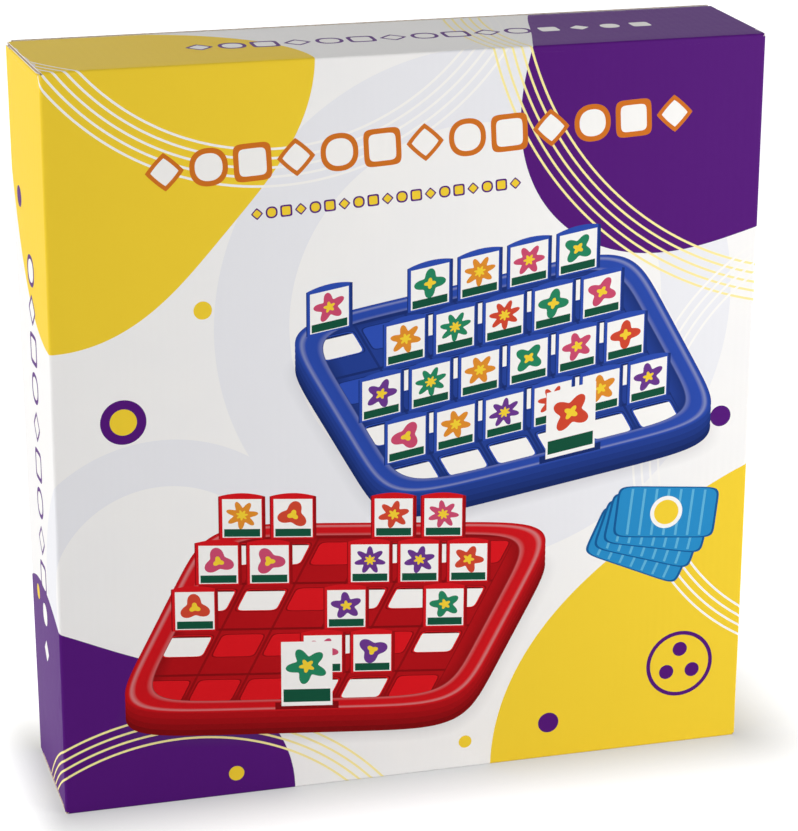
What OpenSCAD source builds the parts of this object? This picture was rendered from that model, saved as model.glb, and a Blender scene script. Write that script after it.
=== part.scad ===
// Face guessing flip game, packed in its shut retail carton.
// The carton stands upright. Two packs of cards lie on its base, and two playing trays stand on
// them face to face, each on its player's edge, so that their flip frames hang shut.
// X runs to the right, Y to the back and Z up. The origin is the middle of the carton's base.

/* [Carton] */
// Width of the carton
carton_w = 270; // [250:1:300]
// Depth of the carton from front to back
carton_d = 58; // [57:0.5:66]
// Height of the carton
carton_h = 284; // [262:1:300]
// Thickness of the corrugated board
board_t = 1.5; // [1.2:0.1:1.8]
// Gap between two boards that lie on each other when the carton is shut
board_gap = 0.1; // [0.05:0.05:0.2]
// Width of the strip that glues the back panel to the left panel
glue_strip_w = 15; // [10:1:20]
// Distance from the glue strip's ends to the carton's ends
glue_strip_end = 10; // [8:1:20]

/* [Closures] */
// Distance from a closure's ends to the carton's sides
closure_inset = 1.3; // [1:0.1:2]
// Length of the tongue that tucks in behind the back panel
tongue_len = 15; // [10:0.5:16]
// Distance from the tongue's ends to the closure's ends
tongue_inset = 2; // [1:0.5:6]
// Radius of the tongue's two outer corners
tongue_corner_r = 11; // [3:0.5:12]
// Angle by which the shut tongue leans in from the back panel
tongue_lean = 12; // [11:0.5:14]
// Length of a dust flap
dust_flap_len = 55; // [40:1:60]
// Width of a dust flap's blunt end
dust_flap_end_w = 13; // [8:1:16]
// Gap between a dust flap's front corner and the front panel
dust_flap_front_gap = 2; // [1:0.5:3]
// Slope of a dust flap's front edge, which lets the closure rise first
dust_flap_slope = 0.5; // [0.5:0.01:0.55]

/* [Card packs] */
// Length of a card
card_l = 58; // [50:1:64]
// Width of a card
card_w = 42; // [36:1:44]
// Thickness of a card
card_t = 0.45; // [0.3:0.01:0.48]
// Height that each card takes in its pack
card_pitch = 0.5; // [0.5:0.01:0.54]
// Number of cards in a pack
card_count = 24; // [12:1:24]
// Radius of a card's corners
card_corner_r = 3; // [1:0.5:5]
// Distance from the middle of the carton to the middle of a pack
card_pack_x = 72; // [40:1:90]

/* [Trays] */
// Gap between a tray and the carton's side panels
tray_side_gap = 5.5; // [4:0.5:8]
// Gap between a tray's underside and the board behind it
tray_back_gap = 0.4; // [0.3:0.1:1]
// Gap between the rims of the two trays
rim_gap = 6; // [3:0.5:12]
// Distance that a tray can rise in the shut carton
lift_travel = 10; // [6:0.5:11]
// Gap that is left above a raised tray
lift_gap = 0.6; // [0.3:0.1:2]
// Radius of a tray's outer corners
tray_corner_r = 18; // [16:1:18]
// Width of the round rim
rim_w = 9; // [8:0.5:9.5]
// Wall of the hollow rim
rim_wall = 2; // [1.6:0.1:2.4]
// Width of the lip round the rim's foot
lip_w = 2; // [1:0.5:2.5]
// Thickness of the lip
lip_t = 1.6; // [1.2:0.1:2.4]
// Height of the deck's lower face over the tray's underside
deck_z = 0.8; // [0.4:0.1:1.2]
// Thickness of the deck
deck_t = 1.6; // [1.2:0.1:1.8]
// Side of a square window
window_side = 27.6; // [24:0.1:28]
// Radius of a window's corners
window_corner_r = 2; // [1:0.5:4]
// Distance from the rim to the last row's pivot
hinge_margin = 9; // [8.5:0.5:9.5]
// Distance from the player's rim to the nearest row's free edge
front_margin = 3.4; // [1:0.1:8]
// Length of the slot that holds the chosen card
card_slot_l = 46; // [44:1:60]
// Width of the slot that holds the chosen card
card_slot_w = 1.6; // [1:0.1:2.5]
// Width of the raised strip beside the columns
strip_w = 14; // [10:0.5:16]
// Gap beside the raised strip, and wall on either side of its channel and panel
strip_margin = 1.2; // [0.8:0.1:1.6]
// Height of the raised strip over the deck
strip_h = 2.6; // [2:0.1:3]
// Width of the channel along the raised strip
channel_w = 2.4; // [1.5:0.1:3]
// Depth of the channel
channel_depth = 2; // [1:0.1:2.4]
// Depth of the bare panel in the raised strip
panel_depth = 0.6; // [0.3:0.1:1]
// Length of the bare panel
panel_l = 46; // [30:1:60]
// Height of a grip ridge over the rim
ridge_h = 0.6; // [0.4:0.1:1]
// Thickness of a grip ridge
ridge_t = 1.6; // [1:0.1:2.4]
// Number of grip ridges in a group
ridge_count = 5; // [3:1:7]
// Distance from the tray's middle to the middle of a group of ridges
ridge_group_x = 62; // [40:1:70]

/* [Flip frames] */
// Length of a flip frame
frame_l = 37.3; // [34:0.1:38]
// Thickness of a flip frame
frame_t = 2.6; // [2.4:0.1:2.8]
// Radius of a frame's two free corners
frame_corner_r = 2.5; // [1:0.5:4]
// Radius of the round edge that holds the pins
barrel_r = 1.3; // [1.25:0.05:1.4]
// Radius of a pivot pin
pin_r = 1.1; // [0.9:0.05:1.2]
// Gap round a pin in its bore
pin_gap = 0.05; // [0.02:0.01:0.09]
// Length of a pivot pin
pin_l = 1.3; // [1:0.05:1.5]
// Gap between a frame's side and the bearing block
frame_side_gap = 0.25; // [0.2:0.05:0.4]
// Gap between a frame's round edge and the deck
barrel_gap = 0.3; // [0.2:0.05:0.5]
// Width of a bearing block
block_w = 2.8; // [2.6:0.1:3.4]
// Wall of a bearing block round its bore
block_wall = 1.4; // [1:0.1:1.6]
// Gap between a frame's round edge and the rail that stops it
rail_gap = 0.5; // [0.4:0.05:0.7]
// Thickness of the rail
rail_t = 1.4; // [1:0.1:2]
// Height of the rail over the pivot
rail_h = 2.2; // [1.5:0.1:2.3]

/* [Portrait cards] */
// Thickness of a portrait card
portrait_t = 0.35; // [0.2:0.05:0.4]
// Gap round the card in its pocket
portrait_gap = 0.1; // [0.05:0.05:0.2]
// Width of the lip that holds the card
portrait_lip = 1.2; // [1:0.1:2]
// Wall of the frame beside the card
portrait_side = 1.3; // [1:0.1:2]
// Wall of the frame over the back of the card
portrait_back = 1.5; // [1.2:0.1:1.6]

/* [Hidden] */
$fn = 48;
// overlap that joins two shapes of one piece, and that carries a cut past a face
eps = 0.01;
past = 1;
rows = ["a", "b", "c", "d"];
column_count = 6;

// the carton's inner faces and its stack of boards at either end
panel_front_y = -carton_d / 2 + board_t;
panel_back_y = carton_d / 2 - board_t;
closure_back_y = panel_back_y - board_gap;
side_end = board_t + board_gap;
stack_t = side_end + board_t + board_gap;
closure_w = carton_w - 2 * closure_inset;
closure_l = closure_back_y + carton_d / 2;
tongue_w = closure_w - 2 * tongue_inset;
// a fold of 90 degrees has mitres of 45 degrees, and a closer fold has steeper ones
fold_mitre = 45;
tongue_mitre = (90 + tongue_lean) / 2;
// room that the leaning tongue takes in front of the back panel
tongue_room = board_gap + tongue_len * sin(tongue_lean) + board_t * cos(tongue_lean);
dust_flap_root = [dust_flap_front_gap + board_t, carton_d - board_t - tongue_room - board_gap];

// the trays fill the carton between the card packs and the lift that is left
card_pack_h = card_count * card_pitch;
tray_z = stack_t + card_pack_h + board_gap;
tray_l = carton_h - stack_t - lift_gap - lift_travel - tray_z;
tray_w = carton_w - 2 * board_t - 2 * tray_side_gap;
red_tray_y = panel_front_y + tray_back_gap;
blue_tray_y = panel_back_y - tongue_room - tray_back_gap;
card_pack_y = (red_tray_y + blue_tray_y) / 2;
rim_h = (blue_tray_y - red_tray_y - rim_gap) / 2;
rim_r = rim_w / 2;
rim_top_z = rim_h - rim_r;
rim_inner = lip_w + rim_w;
deck_top = deck_z + deck_t;

// the pivots stand on the deck, and the columns start at the rim
pivot_z = deck_top + barrel_gap + barrel_r;
bore_r = pin_r + pin_gap;
first_block_x = -tray_w / 2 + rim_inner + block_w / 2;
last_block_x = tray_w / 2 - rim_inner - strip_w - strip_margin - block_w / 2;
col_pitch = (last_block_x - first_block_x) / column_count;
frame_w = col_pitch - block_w - 2 * frame_side_gap;
rail_y = barrel_r + rail_gap;
frame_reach = frame_l - barrel_r;
row_room = tray_l - 2 * rim_inner - hinge_margin - frame_reach - front_margin;
row_pitch = row_room / (len(rows) - 1);
frame_bias = 0.1;
frame_under = barrel_r - frame_bias;
frame_over = frame_t - frame_under;
pocket_top = frame_over - portrait_back;
pocket_w = frame_w - 2 * portrait_side;
pocket_root = barrel_r + 0.4;
window_y = (frame_reach - window_side) / 2;

red = "firebrick";
blue = "royalblue";

function row_y(row) = tray_l - rim_inner - hinge_margin - row * row_pitch;
function column_x(column) = first_block_x + (column + 0.5) * col_pitch;
function frame_name(tray, row, column) = str(tray, "_flip_frame_", rows[row], column + 1);

// A rounded rectangle that keeps true arcs, centred on the origin
module rounded_rect(size, r) {
  square([size.x - 2 * r, size.y], center = true);
  square([size.x, size.y - 2 * r], center = true);
  for (sx = [-1, 1], sy = [-1, 1])
    translate([sx * (size.x / 2 - r), sy * (size.y / 2 - r)]) circle(r);
}

// A board seen from its end: its outer face lies on the X axis and its inner face below that.
// Each end is mitred from its outer corner by the given angle, so the outer corner is the fold.
module board_section(length, start_mitre, end_mitre) {
  polygon([
    [0, 0],
    [length, 0],
    [length - board_t * tan(end_mitre), -board_t],
    [board_t * tan(start_mitre), -board_t]]);
}

// The same section as a board of the given width, with its outer face up and its fold along X
module board(length, width, start_mitre, end_mitre) {
  rotate([90, 0, 90])
    linear_extrude(width, center = true)
      board_section(length, start_mitre, end_mitre);
}

// Carton

// The mitres of a fold stay a little apart, half the gap on either side
module front_panel() {
  translate([0, -carton_d / 2, board_gap / 2])
    rotate([90, 0, 0])
      board(carton_h - board_gap, carton_w, fold_mitre, fold_mitre);
}

module side_panel(side) {
  translate([side * carton_w / 2, 0, side_end + board_gap / 2])
    rotate([90, 0, side * 90])
      board(carton_h - 2 * side_end - board_gap, carton_d - 2 * board_t + 2 * eps,
            fold_mitre, fold_mitre);
}

module back_panel() {
  translate([-carton_w / 2, panel_back_y, 0]) cube([carton_w, board_t, carton_h]);
}

module glue_strip() {
  translate([-carton_w / 2 + board_t - eps, panel_back_y - glue_strip_w, glue_strip_end])
    cube([board_t + eps, glue_strip_w + eps, carton_h - 2 * glue_strip_end]);
}

module carton_body() {
  color("white") {
    front_panel();
    side_panel(-1);
    side_panel(1);
    back_panel();
    glue_strip();
  }
}

// The parts of the top end; the bottom end is their mirror image

module closure() {
  color("white")
    translate([0, -carton_d / 2, carton_h])
      board(closure_l, closure_w, fold_mitre, tongue_mitre);
}

// The tongue drops from the closure's back edge, and the shut tongue leans in
module tongue() {
  color("white")
    translate([0, closure_back_y, carton_h])
      rotate([-90 - tongue_lean, 0, 0])
        intersection() {
          translate([0, board_gap / 2, 0]) board(tongue_len, tongue_w, tongue_mitre, 0);
          tongue_outline();
        }
}

module tongue_outline() {
  translate([0, 0, -board_t - past])
    linear_extrude(board_t + 2 * past) {
      translate([-tongue_w / 2, 0]) square([tongue_w, tongue_len - tongue_corner_r]);
      square_w = tongue_w - 2 * tongue_corner_r;
      translate([-square_w / 2, 0]) square([square_w, tongue_len]);
      for (side = [-1, 1])
        translate([side * square_w / 2, tongue_len - tongue_corner_r]) circle(tongue_corner_r);
    }
}

// A dust flap is hinged on a side panel and narrows away from it
module dust_flap(side) {
  root = dust_flap_root;
  flap_front = root[0] + dust_flap_slope * dust_flap_len;
  flap_back = min(root[1], flap_front + dust_flap_end_w);
  shoulder = dust_flap_len / 3;
  color("white")
    intersection() {
      translate([side * carton_w / 2, 0, carton_h - side_end])
        rotate([0, 0, side * 90]) board(dust_flap_len, carton_d, fold_mitre, 0);
      translate([0, -carton_d / 2, carton_h - stack_t - past])
        linear_extrude(stack_t + past)
          mirror([side > 0 ? 1 : 0, 0])
            translate([-carton_w / 2, 0])
              polygon([
                [0, root[0]],
                [dust_flap_len, flap_front],
                [dust_flap_len, flap_back],
                [shoulder, root[1]],
                [0, root[1]]]);
    }
}

module at_bottom() {
  translate([0, 0, carton_h]) mirror([0, 0, 1]) children();
}

// Card packs

module card_pack(x) {
  for (level = [0 : card_count - 1])
    translate([x, card_pack_y, stack_t + level * card_pitch])
      linear_extrude(card_t) rounded_rect([card_l, card_w], card_corner_r);
}

module card_packs() {
  color("deepskyblue") {
    card_pack(-card_pack_x);
    card_pack(card_pack_x);
  }
}

// Trays, drawn as they lie in play: the player sits at -Y and the underside is at Z = 0

// The rim's section, measured inwards from the tray's outer edge
module rim_section() {
  square([rim_inner, lip_t]);
  difference() {
    union() {
      translate([lip_w, 0]) square([rim_w, rim_top_z]);
      translate([lip_w + rim_r, rim_top_z]) circle(rim_r);
    }
    translate([lip_w + rim_wall, -past]) square([rim_w - 2 * rim_wall, rim_top_z + past]);
    translate([lip_w + rim_r, rim_top_z]) circle(rim_r - rim_wall);
  }
}

// The hollow of the rim passes through its lip
module open_rim_section() {
  difference() {
    rim_section();
    translate([lip_w + rim_wall, -past]) square([rim_w - 2 * rim_wall, lip_t + 2 * past]);
  }
}

module rim_side(length) {
  rotate([90, 0, 90]) linear_extrude(length, center = true) open_rim_section();
}

module rim_corner() {
  rotate_extrude(angle = 90)
    translate([tray_corner_r, 0]) mirror([1, 0]) open_rim_section();
}

module rim() {
  across = tray_w - 2 * tray_corner_r;
  along = tray_l - 2 * tray_corner_r;
  rim_side(across);
  translate([0, tray_l, 0]) rotate([0, 0, 180]) rim_side(across);
  translate([-tray_w / 2, tray_l / 2, 0]) rotate([0, 0, -90]) rim_side(along);
  translate([tray_w / 2, tray_l / 2, 0]) rotate([0, 0, 90]) rim_side(along);
  for (corner = [[1, 1, 0], [-1, 1, 90], [-1, -1, 180], [1, -1, 270]])
    translate([corner[0] * across / 2, tray_l / 2 + corner[1] * along / 2, 0])
      rotate([0, 0, corner[2]]) rim_corner();
}

// The deck reaches into the rim's inner wall
module deck() {
  reach = rim_inner - rim_wall / 2;
  translate([0, tray_l / 2, deck_z])
    linear_extrude(deck_t)
      rounded_rect([tray_w - 2 * reach, tray_l - 2 * reach], tray_corner_r - reach);
}

module windows() {
  for (row = [0 : len(rows) - 1], column = [0 : column_count - 1])
    translate([column_x(column), row_y(row) - window_y - window_side / 2, deck_z - past])
      linear_extrude(deck_t + 2 * past)
        rounded_rect([window_side, window_side], window_corner_r);
}

// Bearing blocks stand between the frames, and a rail behind the pivots stops the raised frames
module bearing_row(y) {
  half = bore_r + block_wall;
  for (column = [0 : column_count])
    translate([first_block_x + column * col_pitch - block_w / 2, y - half, deck_top - eps])
      cube([block_w, half + rail_y + rail_t, pivot_z + half - deck_top + eps]);
  translate([first_block_x, y + rail_y, deck_top - eps])
    cube([last_block_x - first_block_x, rail_t, pivot_z + rail_h - deck_top + eps]);
}

module bores(y) {
  translate([first_block_x - block_w / 2 - eps, y, pivot_z])
    rotate([0, 90, 0]) cylinder(h = last_block_x - first_block_x + block_w + 2 * eps, r = bore_r);
}

// The raised strip beside the columns has a card channel and a bare panel
module side_strip() {
  strip_x = last_block_x + block_w / 2 + strip_margin + strip_w / 2;
  length = tray_l - 2 * tray_corner_r;
  panel_w = strip_w - channel_w - 3 * strip_margin;
  top = deck_top + strip_h;
  difference() {
    translate([strip_x - strip_w / 2, tray_corner_r, deck_top - eps])
      cube([strip_w + rim_wall / 2, length, strip_h + eps]);
    translate([strip_x - strip_w / 2 + strip_margin, tray_corner_r + strip_margin,
               top - channel_depth])
      cube([channel_w, length - 2 * strip_margin, channel_depth + past]);
    translate([strip_x - strip_w / 2 + 2 * strip_margin + channel_w,
               tray_l - tray_corner_r - panel_l - strip_margin, top - panel_depth])
      cube([panel_w, panel_l, panel_depth + past]);
  }
}

// Grip ridges go round the top of the player's rim on both sides of the card slot
module grip_ridges() {
  pitch = 2 * ridge_t;
  for (side = [-1, 1], step = [0 : ridge_count - 1])
    translate([side * ridge_group_x + (step - (ridge_count - 1) / 2) * pitch, lip_w + rim_r,
               rim_top_z])
      intersection() {
        rotate([0, 90, 0]) cylinder(h = ridge_t, r = rim_r + ridge_h, center = true);
        translate([-ridge_t, -rim_w, 0]) cube([2 * ridge_t, 2 * rim_w, rim_w]);
      }
}

module card_slot() {
  translate([-card_slot_l / 2, lip_w + rim_r - card_slot_w / 2, rim_top_z])
    cube([card_slot_l, card_slot_w, rim_w]);
}

module tray() {
  difference() {
    union() {
      rim();
      deck();
      side_strip();
      grip_ridges();
      for (row = [0 : len(rows) - 1]) bearing_row(row_y(row));
    }
    windows();
    card_slot();
    for (row = [0 : len(rows) - 1]) bores(row_y(row));
  }
}

// Flip frames, drawn shut about their own pivot, with the portrait towards the deck

module frame_outline() {
  free = frame_reach - frame_corner_r;
  translate([-frame_w / 2, -free]) square([frame_w, free]);
  translate([-frame_w / 2 + frame_corner_r, -frame_reach])
    square([frame_w - 2 * frame_corner_r, frame_reach]);
  for (side = [-1, 1])
    translate([side * (frame_w / 2 - frame_corner_r), -free]) circle(frame_corner_r);
}

module flip_frame() {
  difference() {
    union() {
      translate([0, 0, -frame_under]) linear_extrude(frame_t) frame_outline();
      rotate([0, 90, 0]) cylinder(h = frame_w, r = barrel_r, center = true);
      rotate([0, 90, 0]) cylinder(h = frame_w + 2 * pin_l, r = pin_r, center = true);
    }
    // the round edge has nothing in front of it that could touch the deck
    translate([-frame_w / 2 - eps, 0, barrel_r])
      cube([frame_w + 2 * eps, barrel_r, frame_t]);
    // the card slides in from the free edge
    translate([-pocket_w / 2, -frame_reach - past, pocket_top - portrait_t - portrait_gap])
      cube([pocket_w, frame_reach + past - pocket_root, portrait_t + portrait_gap]);
    translate([-pocket_w / 2 + portrait_lip, -frame_reach + portrait_lip + portrait_side,
               -frame_under - past])
      cube([pocket_w - 2 * portrait_lip,
            frame_reach - 2 * portrait_lip - portrait_side - pocket_root,
            frame_under + pocket_top - portrait_t + past - portrait_gap / 2]);
  }
}

module portrait_card() {
  width = pocket_w - 2 * portrait_gap;
  length = frame_reach - pocket_root - portrait_side - portrait_gap;
  translate([-width / 2, -pocket_root - portrait_gap - length,
             pocket_top - portrait_t - portrait_gap / 2])
    cube([width, length, portrait_t]);
}

// The trays' places in the carton: both stand on their player's edge and face each other
module in_red_place() {
  translate([0, red_tray_y, tray_z]) rotate([90, 0, 180]) children();
}

module in_blue_place() {
  translate([0, blue_tray_y, tray_z]) rotate([90, 0, 0]) children();
}

module framed_card(tray, row, column) {
  translate([column_x(column), row_y(row), pivot_z]) {
    color(tray == "red" ? red : blue) flip_frame();
    color("white") portrait_card();
  }
}

module placed_frame(tray, row, column) {
  if (tray == "red") in_red_place() framed_card(tray, row, column);
  else in_blue_place() framed_card(tray, row, column);
}

module red_tray() {
  color(red) in_red_place() tray();
}

module blue_tray() {
  color(blue) in_blue_place() tray();
}

carton_body();
closure();  // top_closure
tongue();  // top_tongue
dust_flap(-1);  // top_dust_flap_left
dust_flap(1);  // top_dust_flap_right
at_bottom() closure();  // bottom_closure
at_bottom() tongue();  // bottom_tongue
at_bottom() dust_flap(-1);  // bottom_dust_flap_left
at_bottom() dust_flap(1);  // bottom_dust_flap_right
card_packs();
red_tray();
blue_tray();
for (tray = ["red", "blue"], row = [0 : len(rows) - 1], column = [0 : column_count - 1])
  placed_frame(tray, row, column);
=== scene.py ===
"""Looks of a face guessing flip game in its upright retail carton.

The carton is micro-flute board: two paper liners with a corrugated sheet between them. Every board
here is built that way, along a path that follows its folds, and its print lies on one flat sheet
that runs over the folds. Inside stand two moulded trays with flip frames on two packs of cards.
"""
import math

import bmesh
import bpy
import numpy as np
from mathutils import Matrix, Vector


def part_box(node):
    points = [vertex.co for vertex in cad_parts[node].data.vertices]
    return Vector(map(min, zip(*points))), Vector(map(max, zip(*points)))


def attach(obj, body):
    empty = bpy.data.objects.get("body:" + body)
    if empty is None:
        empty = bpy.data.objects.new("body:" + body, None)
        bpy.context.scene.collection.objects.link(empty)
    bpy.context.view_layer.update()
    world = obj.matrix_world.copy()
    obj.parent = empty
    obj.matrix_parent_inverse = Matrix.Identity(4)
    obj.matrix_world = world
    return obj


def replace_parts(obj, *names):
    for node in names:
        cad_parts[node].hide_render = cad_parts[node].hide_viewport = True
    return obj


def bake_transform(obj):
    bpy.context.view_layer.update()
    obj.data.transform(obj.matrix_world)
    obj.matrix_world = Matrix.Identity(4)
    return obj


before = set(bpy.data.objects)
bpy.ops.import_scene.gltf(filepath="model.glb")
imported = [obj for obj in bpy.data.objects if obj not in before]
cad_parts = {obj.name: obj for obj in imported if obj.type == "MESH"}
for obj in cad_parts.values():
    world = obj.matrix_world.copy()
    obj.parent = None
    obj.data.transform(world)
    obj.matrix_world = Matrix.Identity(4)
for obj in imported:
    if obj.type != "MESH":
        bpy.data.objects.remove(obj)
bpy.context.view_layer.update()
scene = bpy.context.scene

# Sizes of the carton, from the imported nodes, in metres
MM = 0.001
CM_PER_M = 100.0
BODY_LO, BODY_HI = (np.array(c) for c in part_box("carton_body"))
TOP_LO, TOP_HI = (np.array(c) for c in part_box("top_closure"))
FLAP_LO, FLAP_HI = (np.array(c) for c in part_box("top_dust_flap_left"))
WIDTH = BODY_HI[0] - BODY_LO[0]
DEPTH = BODY_HI[1] - BODY_LO[1]
HEIGHT = BODY_HI[2] - BODY_LO[2]
BOARD = TOP_HI[2] - TOP_LO[2]
FRONT_Y = BODY_LO[1]
BACK_Y = BODY_HI[1]
FLAP_TOP = FLAP_HI[2]

# The board's make-up
LINER = 0.30 * MM
MEDIUM = 0.16 * MM
FLUTE_PITCH = 3.2 * MM
FLUTE_STEPS = 8

# The closures reach nearly to the side panels' outer faces
CLOSURE_HALF = WIDTH / 2 - 0.25 * MM

# The gap at a cut edge, and a hair's gap: between the glue strip and its panel, and between a step
# in an edge and the samples on either side of it
BOARD_GAP = 0.05 * MM
HAIR_GAP = 0.02 * MM

# The tongue: its lean from the back panel, its length, its free corners, and the stretch past its
# crease that is as wide as the closure
TONGUE_LEAN = math.radians(12)
TONGUE_LENGTH = 15 * MM
TONGUE_CORNER_R = 11 * MM
TONGUE_SHOULDER = 0.7 * MM

# The dust flap: how far its front edge falls back for each unit of its length, and its tip's width
FLAP_SLOPE = 0.5
FLAP_TIP_W = 13 * MM

# How far the carton's top left back corner stands out, because the carton isn't quite square
CORNER_OUT = 3.0 * MM

# The folds: the outer radius of each, the reach of its crease, and how thin it presses the board
WALL_FOLD_R = 1.2 * MM
END_FOLD_R = 0.9 * MM
CREASE_REACH = 2.4 * MM
WALL_FOLD_THIN = 0.78
END_FOLD_THIN = 0.5
FOLD_STEPS = 10


def rounded_path(corners, radii, step, stations=()):
    """Samples a polyline whose inner corners are arcs.

    Each arc touches both legs at radius * tan(turn / 2) from the corner. The stations are further
    places on the legs that are sampled. Returns the points, the unit tangents, the place along the
    unrounded polyline, and how near each sample is to a fold, from 0 on a leg to 1 on an arc.
    """
    corners = [np.array(c, float) for c in corners]
    legs = [b - a for a, b in zip(corners, corners[1:])]
    lengths = [np.linalg.norm(leg) for leg in legs]
    ways = [leg / length for leg, length in zip(legs, lengths)]
    starts = np.concatenate([[0.0], np.cumsum(lengths)])
    cuts = [0.0]
    for way, after, radius in zip(ways, ways[1:], radii):
        turn = math.acos(np.clip(way @ after, -1, 1))
        cuts.append(radius * math.tan(turn / 2))
    cuts.append(0.0)
    points, tangents, places, folds = [], [], [], []
    for i, (way, length) in enumerate(zip(ways, lengths)):
        begin, end = cuts[i], length - cuts[i + 1]
        count = max(2, int(round((end - begin) / step)) + 1)
        inner = np.array(stations) - starts[i]
        inner = inner[(inner > begin) & (inner < end)]
        along = np.unique(np.concatenate([np.linspace(begin, end, count), inner]))
        points.append(corners[i] + along[:, None] * way)
        tangents.append(np.repeat(way[None], len(along), 0))
        places.append(starts[i] + along)
        folds.append(np.zeros(len(along)))
        if i == len(ways) - 1:
            break
        after, radius, cut = ways[i + 1], radii[i], cuts[i + 1]
        side = np.sign(way[0] * after[1] - way[1] * after[0])
        centre = corners[i + 1] - cut * way + side * radius * np.array([-way[1], way[0]])
        turn = math.acos(np.clip(way @ after, -1, 1))
        share = np.linspace(0, 1, FOLD_STEPS + 1)[1:-1]
        angle = side * share * turn
        cos, sin = np.cos(angle), np.sin(angle)
        spoke = -side * radius * np.array([-way[1], way[0]])
        points.append(centre + np.stack([cos * spoke[0] - sin * spoke[1],
                                         sin * spoke[0] + cos * spoke[1]], 1))
        tangents.append(np.stack([cos * way[0] - sin * way[1], sin * way[0] + cos * way[1]], 1))
        places.append(starts[i + 1] + cut * (2 * share - 1))
        folds.append(np.ones(len(share)))
    return (np.concatenate(points), np.concatenate(tangents), np.concatenate(places),
            np.concatenate(folds))


def smooth(value):
    """The smoothstep of a value held between 0 and 1."""
    value = np.clip(value, 0, 1)
    return value * value * (3 - 2 * value)


def settled(points):
    """Leans the carton's left back edge outwards, from nothing at the floor to all at the top.

    The shift along X is a product of three shares: the height, the depth behind the front, and the
    square of the nearness to the left side.
    """
    height = np.clip(points[..., 2] / HEIGHT, 0, 1)
    depth = np.clip((points[..., 1] - FRONT_Y) / DEPTH, 0, 1)
    side = np.clip(-points[..., 0] / (WIDTH / 2), 0, 1) ** 2
    moved = points.copy()
    moved[..., 0] -= CORNER_OUT * height * depth * side
    return moved


class Board:
    """A board along a folded path, gathered as vertices, faces, sheet coordinates and materials."""

    PRINT, PAPER, KRAFT = 0, 1, 2

    def __init__(self, name):
        self.name = name
        self.vertices, self.sheet, self.faces, self.finish = [], [], [], []
        self.count = 0

    def slab(self, outer, inner, sheet, finishes):
        """Adds a closed slab between two grids of points.

        outer and inner are grids of the same shape. Their faces take the first and second finish,
        and the four sides between their rims take the third.
        """
        rows, columns = outer.shape[:2]
        a = self.count + np.arange(rows * columns).reshape(rows, columns)
        b = a + rows * columns

        def quads(grid):
            return np.stack([grid[:-1, :-1], grid[1:, :-1], grid[1:, 1:], grid[:-1, 1:]],
                            -1).reshape(-1, 4)

        def strip(one, two):
            return np.stack([one[:-1], one[1:], two[1:], two[:-1]], -1)

        sides = np.concatenate([strip(a[:, 0], b[:, 0])[:, ::-1], strip(a[:, -1], b[:, -1]),
                                strip(a[0], b[0]), strip(a[-1], b[-1])[:, ::-1]])
        faces = np.concatenate([quads(a), quads(b)[:, ::-1], sides])
        points = np.concatenate([outer.reshape(-1, 3), inner.reshape(-1, 3)])
        centre = (outer.mean((0, 1)) + inner.mean((0, 1))) / 2
        local = points[faces - self.count] - centre
        volume = (np.cross(local[:, 1] - local[:, 0], local[:, 2] - local[:, 0])
                  + np.cross(local[:, 2] - local[:, 0], local[:, 3] - local[:, 0]))
        if (volume * local.mean(1)).sum() < 0:
            faces = faces[:, ::-1]
        half = (rows - 1) * (columns - 1)
        self.vertices.append(points)
        self.sheet.append(np.concatenate([sheet.reshape(-1, 2)] * 2))
        self.faces.append(faces)
        self.finish.append(np.repeat(finishes, [half, half, len(sides)]))
        self.count += len(points)

    def finished(self, materials):
        """Makes the Blender object, with its sheet coordinates as a UV map and sharp cut edges."""
        mesh = bpy.data.meshes.new(self.name)
        vertices = np.concatenate(self.vertices)
        faces = np.concatenate(self.faces)
        sheet = np.concatenate(self.sheet)
        mesh.from_pydata(vertices, [], faces.tolist())
        layer = mesh.uv_layers.new(name="print_sheet")
        layer.data.foreach_set("uv", sheet[faces.ravel()].astype(np.float32).ravel())
        for material in materials:
            mesh.materials.append(material)
        mesh.polygons.foreach_set("material_index", np.concatenate(self.finish).astype(np.int32))
        mesh.shade_smooth()
        mesh.set_sharp_from_angle(angle=math.radians(50))
        mesh.validate()
        mesh.update()
        piece = bpy.data.objects.new(self.name, mesh)
        scene.collection.objects.link(piece)
        return piece


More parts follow.
